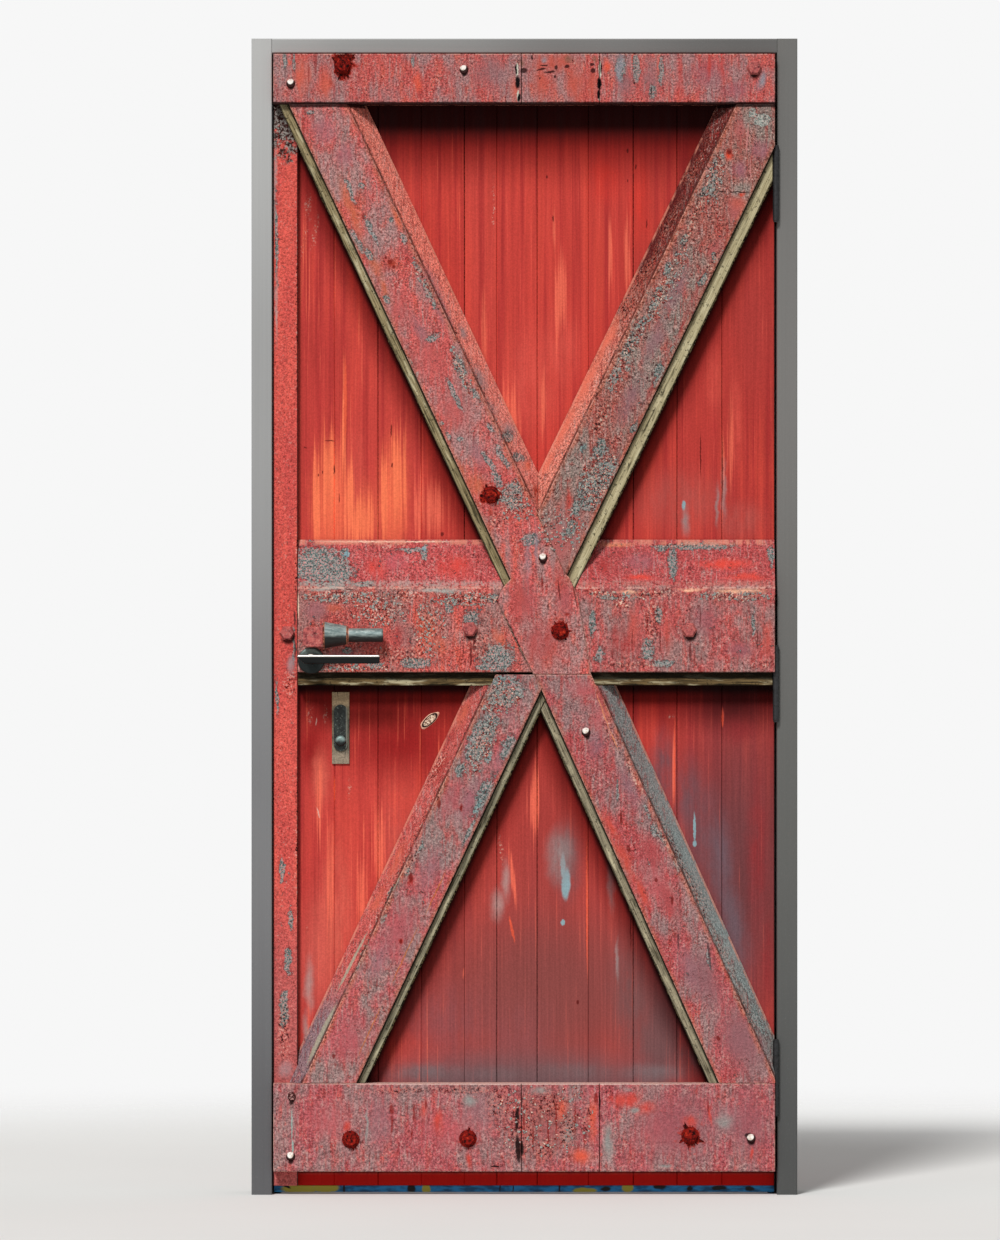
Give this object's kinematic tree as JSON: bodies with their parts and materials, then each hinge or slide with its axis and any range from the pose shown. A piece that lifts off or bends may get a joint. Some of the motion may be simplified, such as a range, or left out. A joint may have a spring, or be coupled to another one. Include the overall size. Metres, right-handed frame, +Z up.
{
  "type": "hinged plank door with frame",
  "caption": "Barn-style plank door leaf with crossed braces and a middle rail, hung on hinges in a folded steel frame, with lever, latch and key lock.",
  "frame": {"origin": "on the floor, midway between the outer sides of the frame and midway between the front of the lever and the back of the frame", "axes": "+X right as seen from the front, +Y back through the doorway, +Z up"},
  "size_m": [0.959, 0.192, 2.031],
  "materials": {
    "frame_steel": "satin grey paint",
    "plank_paint": "weathered bright red paint on boards",
    "rail_paint": "faded dull red paint with primer showing",
    "bare_wood": "bare weathered timber",
    "strip_paint": "worn blue paint with ochre patches",
    "rusty_iron": "heavily rusted",
    "painted_iron": "painted over in red, worn",
    "pale_screw": "worn zinc",
    "hinge_steel": "black, satin",
    "latch_grey": "worn grey",
    "lever_metal": "polished on top, dark below",
    "dark_metal": "dark, satin",
    "lock_steel": "brushed",
    "plate_pale": "pale weathered",
    "gasket_rubber": "matt black"
  },
  "bodies": {
    "frame": {"hinge_jamb": "frame_steel", "lock_jamb": "frame_steel", "frame_head": "frame_steel", "frame_gasket": "gasket_rubber", "hinge_frame_leaf_1": "hinge_steel", "hinge_frame_leaf_2": "hinge_steel", "hinge_frame_leaf_3": "hinge_steel", "hinge_pins": "hinge_steel", "frame_hinge_screws": "lock_steel"},
    "leaf": {"plank_01": "plank_paint", "plank_02": "plank_paint", "plank_03": "plank_paint", "plank_04": "plank_paint", "plank_05": "plank_paint", "plank_06": "plank_paint", "plank_07": "plank_paint", "plank_08": "plank_paint", "plank_09": "plank_paint", "plank_10": "plank_paint", "plank_11": "plank_paint", "left_stile": "plank_paint", "bottom_strip": "strip_paint", "top_rail": "rail_paint", "bottom_rail": "rail_paint", "upper_left_facing": "rail_paint", "upper_right_facing": "rail_paint", "lower_left_facing": "rail_paint", "lower_right_facing": "rail_paint", "mid_left_facing": "rail_paint", "mid_right_facing": "rail_paint", "mid_rail_core": "bare_wood", "upper_left_core": "bare_wood", "upper_right_core": "bare_wood", "lower_left_core": "bare_wood", "lower_right_core": "bare_wood", "hinge_leaf_leaf_1": "hinge_steel", "hinge_leaf_leaf_2": "hinge_steel", "hinge_leaf_leaf_3": "hinge_steel", "leaf_hinge_screws": "lock_steel", "rusty_bolts": "rusty_iron", "painted_bolts": "painted_iron", "dome_screws": "pale_screw", "lever_rose": "dark_metal", "rim_lock_case": "dark_metal", "dead_lock_case": "dark_metal", "key_plate": "plate_pale"},
    "levers": {"lever_handle": "lever_metal", "lever_spindle": "lock_steel", "inside_lever": "lever_metal", "lock_follower": "lock_steel"},
    "lock_bolt": {"lock_bolt": "lock_steel"},
    "latch": {"latch_head": "painted_iron", "latch_collar": "latch_grey", "latch_bar": "latch_grey", "latch_spindle": "lock_steel", "latch_cam": "lock_steel"},
    "key_cover": {"key_cover": "dark_metal"},
    "dead_bolt": {"dead_bolt": "lock_steel"}
  },
  "joints": [
    {"name": "leaf_swing", "type": "hinge", "parent": "frame", "child": "leaf", "pos_m": [0.4415, -0.0205, 0.898], "axis": [0, 0, 1], "range_deg": [0, 105]},
    {"name": "lever_lift", "type": "hinge", "parent": "leaf", "child": "levers", "pos_m": [-0.374, -0.014, 0.941], "axis": [0, -1, 0], "range_deg": [0, 45]},
    {"name": "lock_bolt_slide", "type": "slide", "parent": "leaf", "child": "lock_bolt", "axis": [-1, 0, 0], "range_m": [0, 0.014]},
    {"name": "latch_turn", "type": "hinge", "parent": "leaf", "child": "latch", "pos_m": [-0.3697, -0.014, 0.9796], "axis": [0, -1, 0], "range_deg": [0, 90]},
    {"name": "key_cover_swing", "type": "hinge", "parent": "leaf", "child": "key_cover", "pos_m": [-0.32325, 0.005, 0.849], "axis": [0, -1, 0], "range_deg": [-90, 90]},
    {"name": "dead_bolt_slide", "type": "slide", "parent": "leaf", "child": "dead_bolt", "axis": [-1, 0, 0], "range_m": [0, 0.014]}
  ],
  "couplings": [
    {"joint": "lock_bolt_slide", "follows": "lever_lift", "m_per_rad": 0.0178}
  ]
}
